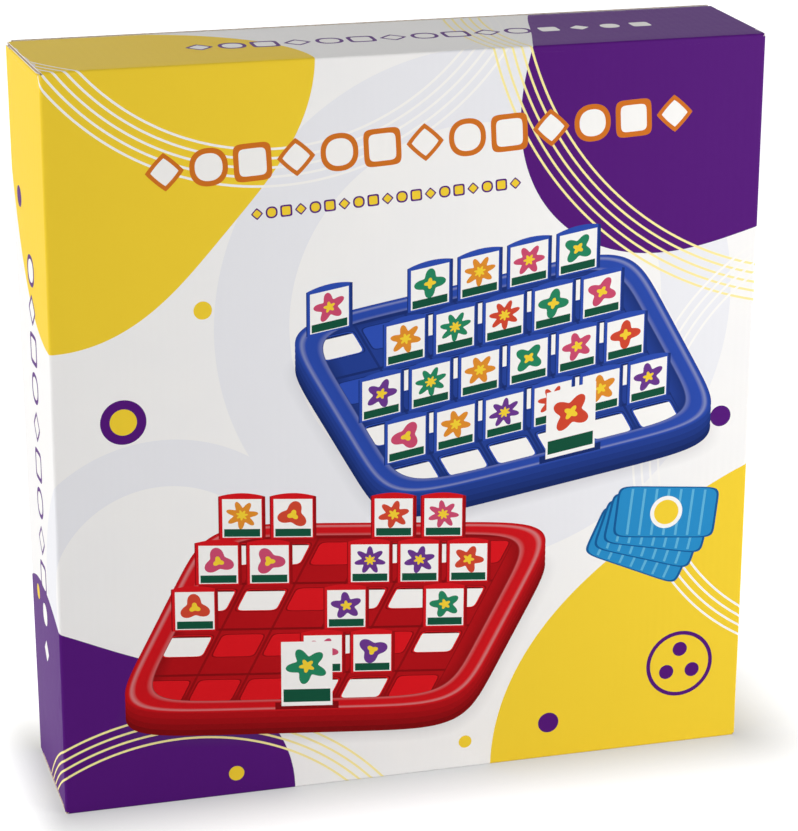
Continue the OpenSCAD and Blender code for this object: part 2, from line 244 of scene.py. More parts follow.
def lay_board(name, corners, radii, thin, turn, place, spans, sheet, across_step, flutes_along,
              relief=None, stations=()):
    """Builds a board of two liners and a corrugated sheet along a folded path.

    The path is the outer face's line in its own plane, and turn is +1 or -1 for the side on which
    the outside lies. A point at depth d under the outer face is path - normal * d * press, where
    press falls smoothly from 1 to thin at a fold. spans(s) gives the two ends across the path at
    the place s, place(path, across) puts a point in the frame, and sheet(s, across) puts it on the
    print sheet. The corrugated sheet's depth is a sine of the place along the path, or across it.
    """
    board = Board(name)

    def surfaces(step, count, depth):
        points, tangents, s, fold = rounded_path(corners, radii, step, stations)
        normals = turn * np.stack([tangents[:, 1], -tangents[:, 0]], 1)
        bends = s[fold > 0]
        near = np.abs(s[:, None] - bends).min(1) if len(bends) else np.full(len(s), 1.0)
        press = 1 - (1 - thin) * smooth(1 - near / CREASE_REACH)
        low, high = spans(s)
        share = np.linspace(0, 1, count)
        across = low[:, None] + (high - low)[:, None] * share
        s_grid = np.repeat(s[:, None], count, 1)
        lift = relief(s_grid, across) if relief else np.zeros_like(across)
        depths = depth(s_grid, across) * press[:, None]
        path = points[:, None] + normals[:, None] * (lift - depths)[..., None]
        return settled(place(path, across)), sheet(s_grid, across)

    low, high = spans(np.linspace(0, sum(np.linalg.norm(np.subtract(b, a)) for a, b in
                                         zip(corners, corners[1:])), 50))
    width = float((high - low).max())
    plain = max(2, int(width / across_step) + 1)

    def flat(depth):
        return surfaces(across_step, plain, lambda s, across: np.full_like(across, depth))

    outer, uv = flat(0.0)
    board.slab(outer, flat(LINER)[0], uv, [Board.PRINT, Board.PAPER, Board.PAPER])
    inner, uv = flat(BOARD - LINER)
    board.slab(inner, flat(BOARD)[0], uv, [Board.PAPER, Board.PAPER, Board.PAPER])

    middle = BOARD / 2
    swing = BOARD / 2 - LINER - MEDIUM / 2
    fine = FLUTE_PITCH / FLUTE_STEPS

    def wave(side):
        def depth(s, across):
            phase = s if flutes_along == "across" else across
            return middle + swing * np.sin(2 * math.pi * phase / FLUTE_PITCH) + side * MEDIUM / 2
        if flutes_along == "across":
            return surfaces(fine, 3, depth)
        return surfaces(across_step, int(width / fine) + 1, depth)

    crest, uv = wave(-1)
    board.slab(crest, wave(1)[0], uv, [Board.KRAFT, Board.KRAFT, Board.KRAFT])
    return board


def steps(s, edges, values):
    """A step function: values[i] between edges[i - 1] and edges[i]."""
    return np.array(values)[np.searchsorted(edges, s)]


def linear(red, green, blue):
    """A display colour of 0 to 255 as the linear colour that a shader takes."""
    share = np.array([red, green, blue]) / 255
    low = share / 12.92
    high = ((share + 0.055) / 1.055) ** 2.4
    return (*np.where(share <= 0.04045, low, high), 1.0)


PURPLE = linear(82, 22, 116)
YELLOW = linear(241, 206, 54)
PALE_YELLOW = linear(249, 234, 160)
ORANGE = linear(206, 112, 34)
WHITE_INK = linear(246, 244, 241)
PALE_GREY = linear(234, 234, 238)
SKY = linear(40, 138, 196)
LEAF = linear(16, 78, 56)
RED = linear(196, 18, 26)
BLUE = linear(40, 70, 160)


class Term:
    """A number in a shader: each arithmetic sign on it adds one Math node."""

    def __init__(self, tree, socket):
        self.tree, self.socket = tree, socket

    @classmethod
    def fixed(cls, tree, value):
        """A number that is the same everywhere."""
        node = tree.nodes.new("ShaderNodeValue")
        node.outputs[0].default_value = value
        return cls(tree, node.outputs[0])

    def math(self, operation, *others):
        node = self.tree.nodes.new("ShaderNodeMath")
        node.operation = operation
        for slot, value in enumerate((self, *others)):
            if isinstance(value, Term):
                self.tree.links.new(value.socket, node.inputs[slot])
            else:
                node.inputs[slot].default_value = value
        return Term(self.tree, node.outputs[0])

    def __add__(self, other):
        return self.math("ADD", other)

    def __sub__(self, other):
        return self.math("SUBTRACT", other)

    def __mul__(self, other):
        return self.math("MULTIPLY", other)

    def __truediv__(self, other):
        return self.math("DIVIDE", other)

    def __pow__(self, other):
        return self.math("POWER", other)

    def __lt__(self, other):
        return self.math("LESS_THAN", other)

    def __gt__(self, other):
        return self.math("GREATER_THAN", other)

    def __abs__(self):
        return self.math("ABSOLUTE")

    def to_multiple(self, period):
        """The distance to the nearest multiple of the period."""
        return self.math("PINGPONG", period / 2)


class Plane:
    """A flat sheet of coordinates, in centimetres, on which shapes are masks of 0 or 1."""

    def __init__(self, tree, vector):
        self.tree, self.vector = tree, vector
        parts = tree.nodes.new("ShaderNodeSeparateXYZ")
        tree.links.new(vector, parts.inputs[0])
        self.x, self.y = Term(tree, parts.outputs[0]), Term(tree, parts.outputs[1])

    @classmethod
    def joined(cls, x, y):
        """The sheet that two numbers span."""
        node = x.tree.nodes.new("ShaderNodeCombineXYZ")
        x.tree.links.new(x.socket, node.inputs[0])
        x.tree.links.new(y.socket, node.inputs[1])
        return cls(x.tree, node.outputs[0])

    def slanted(self, origin, across, back):
        """The coordinates a and b of the point origin + a * across + b * back."""
        (xa, xb), (ya, yb) = np.linalg.inv(np.array([across, back]).T)
        x, y = self.x - origin[0], self.y - origin[1]
        return Plane.joined(x * xa + y * xb, x * ya + y * yb)

    def turned(self, centre, degrees=0.0):
        """The same sheet about another centre, turned by an angle."""
        node = self.tree.nodes.new("ShaderNodeMapping")
        node.vector_type = "TEXTURE"
        self.tree.links.new(self.vector, node.inputs["Vector"])
        node.inputs["Location"].default_value = (*centre, 0)
        node.inputs["Rotation"].default_value = (0, 0, math.radians(degrees))
        return Plane(self.tree, node.outputs[0])

    def distance(self, centre):
        """How far each point is from a centre."""
        node = self.tree.nodes.new("ShaderNodeVectorMath")
        node.operation = "DISTANCE"
        self.tree.links.new(self.vector, node.inputs[0])
        node.inputs[1].default_value = (*centre, 0)
        return Term(self.tree, node.outputs["Value"])

    def disc(self, centre, radius):
        return self.distance(centre) < radius

    def ring(self, centre, radius, width):
        return abs(self.distance(centre) - radius) < width / 2

    def arcs(self, centre, radius, pitch, count, width):
        """Concentric lines: near a multiple of the pitch, within the band of all the lines."""
        out = self.distance(centre) - radius
        line = out.to_multiple(pitch) < width / 2
        middle = (count - 1) * pitch / 2
        return line * (abs(out - middle) < middle + width / 2)

    def blob(self, centre, radius, lobes, depth, phase):
        """A round shape whose radius swings with the sine of lobes times the angle."""
        here = self.turned(centre)
        angle = here.y.math("ARCTAN2", here.x)
        edge = (angle * lobes + phase).math("SINE") * (radius * depth) + radius
        return here.distance((0, 0)) < edge

    def squircle(self, half_w, half_h, power):
        """The superellipse's radius: 1 on the edge, less inside."""
        across = abs(self.x / half_w) ** power
        along = abs(self.y / half_h) ** power
        return (across + along) ** (1 / power)

    def noise(self, scale, detail=2.0):
        node = self.tree.nodes.new("ShaderNodeTexNoise")
        node.inputs["Scale"].default_value = scale
        node.inputs["Detail"].default_value = detail
        self.tree.links.new(self.vector, node.inputs["Vector"])
        return Term(self.tree, node.outputs[0])


class Ink:
    """A colour that is printed over, one shape at a time."""

    def __init__(self, tree, colour):
        self.tree, self.colour = tree, colour

    def over(self, mask, colour, strength=None):
        if strength is not None:
            mask = mask * strength
        node = self.tree.nodes.new("ShaderNodeMix")
        node.data_type = "RGBA"
        self.tree.links.new(mask.socket, node.inputs[0])
        for slot, value in ((6, self.colour), (7, colour)):
            if isinstance(value, bpy.types.NodeSocket):
                self.tree.links.new(value, node.inputs[slot])
            else:
                node.inputs[slot].default_value = value
        self.colour = node.outputs[2]


def ramp(tree, factor, stops, interpolation="LINEAR"):
    """A colour ramp with the given stops of place and colour."""
    node = tree.nodes.new("ShaderNodeValToRGB")
    node.color_ramp.interpolation = interpolation
    elements = node.color_ramp.elements
    while len(elements) > 1:
        elements.remove(elements[-1])
    elements[0].position, elements[0].color = stops[0]
    for place, colour in stops[1:]:
        element = elements.new(place)
        element.color = colour
    tree.links.new(factor.socket, node.inputs[0])
    return node.outputs[0]


def scaled(colour, factor):
    """The colour made darker or lighter by a factor."""
    return (*[channel * factor for channel in colour[:3]], 1.0)


def lit(colour, share):
    """The colour with a share of white in it, as on a glossy edge."""
    return (*[channel + (1 - channel) * share for channel in colour[:3]], 1.0)


def shape_row(plane, ink, centre, degrees, count, pitch, size, edge, fill=WHITE_INK):
    """A row of diamonds, discs and rounded squares, each with an edge of another colour.

    Each cell's shape is |x|^p + |y|^p below 1, and its power p goes through three values in turn.
    """
    here = plane.turned(centre, degrees)
    cell = here.x / pitch + count / 2
    power = cell.math("FLOOR").math("FLOORED_MODULO", 3.0)
    power = power * power * 1.2 + 1.1
    x = abs(cell.math("FRACT") - 0.5) * (2 * pitch / size)
    y = abs(here.y) * (2 / size)
    radius = (x ** power + y ** power) ** (power.math("POWER", -1.0))
    inside = abs(here.x) < count * pitch / 2
    ink.over((radius < 1.0) * inside, edge)
    ink.over((radius < 0.72) * inside, fill)


def portrait(ink, u, h, mask, luck, width, height):
    """A white card with a petal figure over a dark bar.

    The figure's edge is r * (1 + 0.3 * cos(n * angle)). Its number of petals n and its colour come
    from the card's own chance number. The bar carries no word.
    """
    ink.over(mask, WHITE_INK)
    lifted = h - height * 0.62
    angle = lifted.math("ARCTAN2", u)
    petals = (luck * 37.0).math("FLOORED_MODULO", 5.0).math("FLOOR") + 3.0
    reach = (angle * petals + luck * 20.0).math("COSINE") * 0.3 + 1.0
    spread = (u * u + lifted * lifted).math("SQRT") / reach
    bright = ramp(ink.tree, (luck * 91.0).math("FRACT"), [
        (0.0, linear(206, 70, 48)), (0.2, linear(36, 130, 92)), (0.4, linear(222, 140, 44)),
        (0.6, linear(104, 54, 138)), (0.8, linear(200, 74, 108))], "CONSTANT")
    ink.over(mask * (spread < width * 0.32), bright)
    ink.over(mask * (spread < width * 0.12), YELLOW)
    bar = abs(u) < width * 0.46
    ink.over(mask * bar * (abs(h - height * 0.16) < height * 0.1), LEAF)


# The pictured tray and its frames, in centimetres on the tray
TRAY_HALF = 12.8
TRAY_WALL = 1.9
DECK_SHARE = 0.87
PICTURE_RISE = 0.49
COLUMN_PITCH, ROW_PITCH = 3.6, 6.15
ROW_START, COLUMN_START = -7.71, -11.56
FRAME_W, FRAME_H = 3.3, 3.7
CARD_W, CARD_H = 2.75, 3.1
MIDDLE_COLUMN, MIDDLE_ROW = 2.5, 1.5
COLUMN_REACH, ROW_REACH = 2.9, 1.9
BIG_CARD_W, BIG_CARD_H = 3.7, 5.4


def chance(tree, column, row, seed):
    """A number between 0 and 1 that each cell of a grid keeps to itself."""
    join = tree.nodes.new("ShaderNodeCombineXYZ")
    tree.links.new(column.socket, join.inputs[0])
    tree.links.new(row.socket, join.inputs[1])
    join.inputs[2].default_value = seed
    noise = tree.nodes.new("ShaderNodeTexWhiteNoise")
    tree.links.new(join.outputs[0], noise.inputs["Vector"])
    return Term(tree, noise.outputs["Value"])


def game_picture(plane, ink, centre, across, back, colour, seed, raised):
    """A picture of a playing tray in parallel projection, with its frames up or down.

    A point of the tray is centre + a * across + b * back, and what stands h above it is drawn
    h * PICTURE_RISE higher, which is h * (lean_a, lean_b) on the tray. Its rows of frames are so
    far apart that no frame is drawn over the next row's hinge line. So one grid holds the deck's
    windows, and the same grid, slanted by the lean, holds the frames that stand up.
    """
    tree = ink.tree
    deck = plane.slanted(centre, across, back)
    lean_a, lean_b = np.linalg.inv(np.array([across, back]).T) @ (0.0, PICTURE_RISE)

    # the outer wall: the tray's outline repeated downwards, darker towards the table
    for step in (1.3, 1.0, 0.75, 0.5, 0.25):
        drop = step * TRAY_WALL
        low = Plane.joined(deck.x + drop * lean_a, deck.y + drop * lean_b)
        edge = low.squircle(TRAY_HALF, TRAY_HALF, 7.0)
        if step > 1:
            shadow = (edge - 1.06) * -6.0
            ink.over(shadow.math("MAXIMUM", 0.0).math("MINIMUM", 1.0), linear(70, 66, 84), 0.28)
        else:
            ink.over(edge < 1.0, scaled(colour, 0.85 - 0.5 * step))

    edge = deck.squircle(TRAY_HALF, TRAY_HALF, 7.0)
    ink.over(edge < 1.0, ramp(tree, edge, [
        (0.0, scaled(colour, 0.85)), (0.8, scaled(colour, 0.75)), (DECK_SHARE, scaled(colour, 0.5)),
        (DECK_SHARE + 0.006, lit(colour, 0.12)), (0.9, scaled(colour, 1.05)),
        (0.95, scaled(colour, 1.1)), (0.97, lit(colour, 0.2)), (0.982, scaled(colour, 1.1)),
        (1.0, scaled(colour, 0.8))]))
    on_deck = edge < DECK_SHARE

    # the deck: hinge rails, windows, and a dark plate over each window whose frame is down
    column = (deck.x - COLUMN_START) / COLUMN_PITCH
    row = (deck.y - ROW_START) / ROW_PITCH + 1.0
    u = (column.math("FRACT") - 0.5) * COLUMN_PITCH
    v = row.math("FRACT") * ROW_PITCH
    column, row = column.math("FLOOR"), row.math("FLOOR")
    inside = ((abs(column - MIDDLE_COLUMN) < COLUMN_REACH)
              * (abs(row - MIDDLE_ROW) < ROW_REACH) * on_deck)
    ink.over(inside * (abs(u) > COLUMN_PITCH * 0.475), scaled(colour, 0.5))
    middle_x = COLUMN_START + COLUMN_PITCH * 3
    rail = ((abs(deck.x - middle_x) < COLUMN_PITCH * 3)
            * (abs(row - MIDDLE_ROW - 1.0) < ROW_REACH) * (v < 0.3))
    ink.over(rail * on_deck, scaled(colour, 0.42))
    up = chance(tree, column, row + 1.0, seed) < raised
    hole = Plane.joined(u, v - 4.1)
    hole_edge = hole.squircle(1.42, 1.42, 8.0)
    ink.over(inside * (hole_edge < 1.12), scaled(colour, 0.45))
    ink.over(inside * (hole_edge < 1.05), scaled(colour, 1.25))
    ink.over(inside * up * (hole_edge < 0.98), scaled(colour, 0.35))
    ink.over(inside * up * (hole_edge < 0.98) * (hole.y < 1.15), WHITE_INK)

    # the frames that stand up, each with its card
    row = (deck.y - ROW_START) / ROW_PITCH + 1.0
    h = row.math("FRACT") * (ROW_PITCH / lean_b)
    column = (deck.x - h * lean_a - COLUMN_START) / COLUMN_PITCH
    u = (column.math("FRACT") - 0.5) * COLUMN_PITCH
    column, row = column.math("FLOOR"), row.math("FLOOR")
    luck = chance(tree, column, row, seed)
    up = ((abs(column - MIDDLE_COLUMN) < COLUMN_REACH)
          * (abs(row - MIDDLE_ROW - 1.0) < ROW_REACH) * (luck < raised))
    frame_mask = up * (abs(u) < FRAME_W / 2) * (h < u * u * -0.1 + FRAME_H)
    ink.over(frame_mask, scaled(colour, 0.55))
    ink.over(frame_mask * (abs(u + 0.06) < FRAME_W / 2 - 0.14), scaled(colour, 1.15))
    card = frame_mask * (abs(u) < CARD_W / 2) * (abs(h - CARD_H / 2 - 0.12) < CARD_H / 2)
    portrait(ink, u, h, card, luck, CARD_W, CARD_H)

    # the card to be guessed, in its slot in the rim at the front
    h = (deck.y + 12.1) / lean_b
    u = deck.x - h * lean_a - 1.1
    slot = (abs(u) < 2.3) * (abs(h - 0.02) < 0.3)
    ink.over(slot, scaled(colour, 0.4))
    card = (abs(u) < BIG_CARD_W / 2) * (abs(h - BIG_CARD_H / 2) < BIG_CARD_H / 2)
    portrait(ink, u, h, card, Term.fixed(tree, 0.13 + 0.31 * seed), BIG_CARD_W, BIG_CARD_H)


def card_fan(plane, ink, centre, degrees):
    """Four sky-blue card packs in a loose fan, the top one with a yellow disc."""
    for step in range(4):
        here = plane.turned((centre[0] + 0.34 * step, centre[1] + 0.42 * step),
                            degrees + 6 * step)
        edge = here.squircle(2.1, 1.05, 9.0)
        ink.over(edge < 1.0, linear(20, 88, 146))
        ink.over(edge < 0.955, SKY)
        ink.over((edge < 0.9) * (here.x.to_multiple(0.5) < 0.05), linear(96, 176, 214))
    ink.over(here.disc((0, 0), 0.66), WHITE_INK)
    ink.over(here.disc((0, 0), 0.5), YELLOW)


def new_material(name):
    """A new material with its node tree and its shader."""
    material = bpy.data.materials.new(name)
    material.use_nodes = True
    tree = material.node_tree
    shader = tree.nodes["Principled BSDF"]
    return material, tree, shader


def add_bump(tree, shader, height, strength, distance):
    """Lets a height shape the shader's surface."""
    node = tree.nodes.new("ShaderNodeBump")
    node.inputs["Strength"].default_value = strength
    node.inputs["Distance"].default_value = distance
    tree.links.new(height.socket, node.inputs["Height"])
    tree.links.new(node.outputs[0], shader.inputs["Normal"])


def in_centimetres(tree, socket):
    """A vector in metres as one in centimetres."""
    scale = tree.nodes.new("ShaderNodeVectorMath")
    scale.operation = "SCALE"
    scale.inputs["Scale"].default_value = CM_PER_M
    tree.links.new(socket, scale.inputs[0])
    return scale.outputs[0]


def sheet_plane(tree):
    """The print sheet's coordinates in centimetres, from the board's own UV map."""
    source = tree.nodes.new("ShaderNodeUVMap")
    source.uv_map = "print_sheet"
    return Plane(tree, in_centimetres(tree, source.outputs[0]))


def printed_face():
    """White coated liner with the carton's print: discs, arcs, dots, game pictures and shapes."""
    material, tree, shader = new_material("printed_liner")
    sheet = sheet_plane(tree)
    ink = Ink(tree, WHITE_INK)
    mottle = sheet.noise(0.35)
    ink.over(mottle, linear(241, 240, 240))
    half = WIDTH * CM_PER_M / 2
    side = DEPTH * CM_PER_M
    top = HEIGHT * CM_PER_M
    back = half + side + half

    # broad fields of colour that run on over the folds, and the thin arcs that cross them
    ink.over(sheet.ring((2.5, 18.5), 8.6, 2.8), PALE_GREY)
    ink.over(sheet.ring((-9.5, 8.5), 5.2, 1.8), PALE_GREY)
    ink.over(sheet.blob((-12.6, top - 1.2), 8.3, 3, 0.10, 0.6), YELLOW)
    ink.over(sheet.blob((12.4, top + 0.2), 8.6, 3, 0.12, 2.4), PURPLE)
    ink.over(sheet.blob((-14.2, -0.6), 8.6, 3, 0.12, 1.2), PURPLE)
    ink.over(sheet.blob((14.6, 2.2), 10.4, 2, 0.16, 0.4), YELLOW)
    ink.over(sheet.arcs((-5.2, top + 6.0), 9.2, 0.34, 5, 0.09), WHITE_INK)
    ink.over(sheet.arcs((16.5, top + 3.4), 12.6, 0.34, 5, 0.09), PALE_YELLOW)
    ink.over(sheet.arcs((-9.0, -6.8), 9.4, 0.34, 4, 0.09), PALE_YELLOW)
    ink.over(sheet.arcs((18.0, 12.4), 8.2, 0.34, 4, 0.09), WHITE_INK)
    ink.over(sheet.blob((back - 9.0, top - 2.0), 8.0, 3, 0.12, 1.0), PURPLE)
    ink.over(sheet.blob((back + 11.5, 1.0), 9.0, 3, 0.12, 2.0), YELLOW)
    ink.over(sheet.arcs((back + 6.0, top + 4.0), 9.0, 0.34, 5, 0.09), PALE_YELLOW)

    for centre, radius, colour in (
            ((-10.9, 15.4), 0.85, PURPLE), ((-10.9, 15.4), 0.5, YELLOW),
            ((-7.9, 19.4), 0.34, YELLOW), ((12.3, 13.6), 0.42, PURPLE),
            ((5.6, 1.5), 0.42, PURPLE), ((-6.9, 0.9), 0.3, YELLOW),
            ((2.2, 1.1), 0.26, YELLOW), ((-18.0, 22.9), 0.4, PURPLE),
            ((-17.8, 7.4), 0.3, YELLOW), ((18.0, 6.8), 0.4, PURPLE),
            ((back - 2.0, 6.0), 1.0, YELLOW), ((back + 7.5, 20.0), 0.8, PURPLE)):
        ink.over(sheet.disc(centre, radius), colour)

    game_picture(sheet, ink, (3.7, 16.0), (0.53, 0.085), (-0.16, 0.285), BLUE, 1.0, 0.75)
    game_picture(sheet, ink, (-2.9, 6.9), (0.54, -0.05), (0.15, 0.285), RED, 2.0, 0.7)
    card_fan(sheet, ink, (9.2, 8.6), -24.0)

    shape_row(sheet, ink, (0.4, top - 3.3), 3.0, 13, 1.6, 1.4, ORANGE)
    shape_row(sheet, ink, (-1.0, top - 5.3), 3.0, 19, 0.54, 0.44, PURPLE, YELLOW)
    shape_row(sheet, ink, (1.2, top + side / 2), 0.0, 15, 1.2, 1.02, PURPLE)
    shape_row(sheet, ink, (back, 14.0), 0.0, 13, 1.5, 1.28, ORANGE)
    mirrored = Plane.joined(abs(sheet.x), sheet.y)
    shape_row(mirrored, ink, (half + side / 2, 13.0), 90.0, 11, 1.5, 1.2, PURPLE)

    ink.over(sheet.ring((11.0, 3.4), 1.3, 0.16), PURPLE)
    for turn in range(3):
        angle = math.radians(90 + 120 * turn)
        spot = (11.0 + 0.62 * math.cos(angle), 3.4 + 0.62 * math.sin(angle))
        ink.over(sheet.disc(spot, 0.3), PURPLE)

    # the ink is worn off along the closures' cut edges, in some places further in, most in front
    past_fold = abs(sheet.y - top / 2) - top / 2
    from_edge = abs(abs(sheet.x) - CLOSURE_HALF * CM_PER_M)
    worn = (sheet.noise(1.3, 3.0) - 0.52).math("MAXIMUM", 0.0) * 0.9 + 0.03
    worn = worn * (past_fold * -0.16 + 1.0)
    ink.over((from_edge < worn) * (past_fold > 0.06), linear(236, 228, 234), 0.85)

    tree.links.new(ink.colour, shader.inputs["Base Color"])
    grain = sheet.noise(60.0, 2.0)
    shader.inputs["Specular IOR Level"].default_value = 0.04
    shader.inputs["Coat Weight"].default_value = 0.02
    shader.inputs["Coat Roughness"].default_value = 0.3
    rough = grain * 0.12 + 0.42
    tree.links.new(rough.socket, shader.inputs["Roughness"])
    ribs = (sheet.x * (2 * math.pi / (FLUTE_PITCH * CM_PER_M))).math("SINE") * 0.25
    soft = sheet.noise(1.2, 2.0) * 3.0
    add_bump(tree, shader, grain * 0.35 + ribs + soft, 0.12, 0.0003)
    return material


def plain_paper():
    """Uncoated white liner: fine fibres, darker flecks and a dry surface."""
    material, tree, shader = new_material("plain_liner")
    sheet = sheet_plane(tree)
    fibre = sheet.noise(28.0, 4.0)
    fleck = sheet.noise(9.0, 3.0) > 0.68
    ink = Ink(tree, linear(236, 232, 226))
    ink.over(fibre, linear(222, 216, 206))
    ink.over(fleck, linear(168, 150, 122), 0.35)
    tree.links.new(ink.colour, shader.inputs["Base Color"])
    shader.inputs["Roughness"].default_value = 0.85
    add_bump(tree, shader, fibre, 0.3, 0.0002)
    return material


def kraft_paper():
    """Brown corrugated sheet between the liners."""
    material, tree, shader = new_material("kraft_medium")
    sheet = sheet_plane(tree)
    fibre = sheet.noise(24.0, 4.0)
    ink = Ink(tree, linear(206, 172, 140))
    ink.over(fibre, linear(176, 138, 104))
    tree.links.new(ink.colour, shader.inputs["Base Color"])
    shader.inputs["Roughness"].default_value = 0.9
    add_bump(tree, shader, fibre, 0.3, 0.0002)
    return material


PAPERS = [printed_face(), plain_paper(), kraft_paper()]
ENDS = {
    "top": {"edge": HEIGHT, "way": 1.0},
    "bottom": {"edge": 0.0, "way": -1.0},
}
FLAP_ROOT = (FLAP_LO[1], FLAP_HI[1])
PANEL_EDGE = HEIGHT - FLAP_TOP


def wall_relief(s, across):
    """How far a wall's face stands out: a slight crown on each panel and a few soft dents.

    The crown is a product of two parabolas that are zero at the panel's edges.
    """
    panels = np.array([0, DEPTH, DEPTH + WIDTH, 2 * DEPTH + WIDTH, 2 * DEPTH + 2 * WIDTH])
    index = np.clip(np.searchsorted(panels, s) - 1, 0, 3)
    start, end = panels[index], panels[index + 1]
    share = np.clip((s - start) / (end - start), 0, 1)
    height = np.clip(across / HEIGHT, 0, 1)
    crown = 16 * share * (1 - share) * height * (1 - height)
    lift = crown * 0.35 * MM
    for place, level, radius, depth in (
            (DEPTH + 0.002, 0.034, 0.005, 0.16), (DEPTH + 0.001, 0.052, 0.004, 0.14),
            (DEPTH - 0.004, 0.120, 0.009, 0.16), (DEPTH + WIDTH - 0.006, 0.020, 0.008, 0.16),
            (DEPTH - 0.020, 0.215, 0.012, 0.18)):
        lift = lift - depth * MM * np.exp(-((s - place) ** 2 + (across - level) ** 2)
                                          / (2 * radius ** 2))
    return lift


def carton_walls():
    """The four walls and the glue strip: one path round the carton, seen from above.

    It starts at the left panel's cut edge at the back, and ends with the strip inside that panel.
    """
    left, right = -WIDTH / 2, WIDTH / 2
    strip_x = left + BOARD + HAIR_GAP
    strip_end = BACK_Y - BOARD - 15 * MM
    corners = [(left, BACK_Y - BOARD_GAP), (left, FRONT_Y), (right, FRONT_Y), (right, BACK_Y),
               (strip_x, BACK_Y), (strip_x, strip_end)]
    fold_front_left = DEPTH - BOARD_GAP
    fold_front_right = fold_front_left + WIDTH
    fold_back_right = fold_front_right + DEPTH
    fold_back_left = fold_back_right + right - strip_x
    crease = CREASE_REACH
    inset = WIDTH / 2 - TOP_HI[0]
    cut = PANEL_EDGE + BOARD_GAP
    corner_cut = 0.95 * MM
    flap_cut = PANEL_EDGE + crease
    # the panels' ends, from the left panel's cut edge round to the glue strip
    back_gap = BACK_Y - FLAP_ROOT[1]
    front_gap = FLAP_ROOT[0] - FRONT_Y
    edges = [back_gap, fold_front_left - front_gap, fold_front_left - inset,
             fold_front_left + inset, fold_front_right - inset, fold_front_right + inset,
             fold_front_right + front_gap, fold_back_right - back_gap, fold_back_right,
             fold_back_left, fold_back_left + 2 * MM]
    ends = [cut, flap_cut, cut, corner_cut, crease, corner_cut, cut, flap_cut, cut, 0.0, cut,
            10 * MM]

    stations = [edge + shift for edge in edges for shift in (-HAIR_GAP, HAIR_GAP)]

    def spans(s):
        low = steps(s, edges, ends)
        return low, HEIGHT - low

    def place(path, across):
        return np.concatenate([path, across[..., None]], -1)

    def sheet(s, across):
        return np.stack([s - fold_front_left - WIDTH / 2, across], -1)

    board = lay_board("carton_walls", corners, [WALL_FOLD_R] * 4, WALL_FOLD_THIN, 1, place, spans,
                      sheet, 6 * MM, "across", wall_relief, stations)
    piece = board.finished(PAPERS)
    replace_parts(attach(piece, "carton"), "carton_body")


def side_view(path, across):
    """Points of a path in the plane of Y and Z, at places across it along X."""
    return np.stack([across, path[..., 0], path[..., 1]], -1)


def end_closure(end):
    """A closure with the crease that joins it to the front panel, seen from the side.

    The path climbs the front panel's last millimetres, turns over the fold and runs to the back.
    """
    edge, way = ENDS[end]["edge"], ENDS[end]["way"]
    back_y = TOP_HI[1]
    length = back_y - FRONT_Y
    corners = [(FRONT_Y, edge - way * CREASE_REACH), (FRONT_Y, edge),
               (back_y - CREASE_REACH, edge)]

    def spans(s):
        over = smooth((s - CREASE_REACH) / CREASE_REACH + 0.5)
        half = TOP_HI[0] + (CLOSURE_HALF - TOP_HI[0]) * over
        return -half, half

    def sheet(s, across):
        return np.stack([across, edge + way * (s - CREASE_REACH)], -1)

    def relief(s, across):
        share = np.clip((s - CREASE_REACH) / length, 0, 1)
        return -0.25 * MM * 4 * share * (1 - share) * (1 - (across / CLOSURE_HALF) ** 2)

    board = lay_board(f"{end}_closure_board", corners, [END_FOLD_R], END_FOLD_THIN, -way,
                      side_view, spans, sheet, 6 * MM, "down", relief)
    piece = board.finished(PAPERS)
    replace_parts(piece, f"{end}_closure")
    edge - way * CREASE_REACH
    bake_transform(piece)


def end_tongue(end):
    """The tongue with its crease: it turns down from the closure and leans in.

    Its free corners are quarter circles, so the span narrows as r - sqrt(r^2 - x^2) there.
    """
    edge, way = ENDS[end]["edge"], ENDS[end]["way"]
    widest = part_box(f"{end}_tongue")[1][0]
    root_y = TOP_HI[1]
    corner_r = TONGUE_CORNER_R
    corners = [(root_y - CREASE_REACH, edge), (root_y, edge),
               (root_y - TONGUE_LENGTH * math.sin(TONGUE_LEAN),
                edge - way * TONGUE_LENGTH * math.cos(TONGUE_LEAN))]
    total = CREASE_REACH + TONGUE_LENGTH

    def spans(s):
        into = np.clip(s - (total - corner_r), 0, corner_r)
        half = widest - (corner_r - np.sqrt(corner_r ** 2 - into ** 2))
        half = np.where(s < CREASE_REACH + TONGUE_SHOULDER, CLOSURE_HALF, half)
        return -half, half

    def sheet(s, across):
        return np.stack([across, edge + way * (DEPTH - BOARD + s - CREASE_REACH)], -1)

    board = lay_board(f"{end}_tongue_board", corners, [END_FOLD_R], END_FOLD_THIN, -way,
                      side_view, spans, sheet, 1.5 * MM, "down")
    piece = board.finished(PAPERS)
    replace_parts(piece, f"{end}_tongue")
    edge - way * CREASE_REACH
    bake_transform(piece)


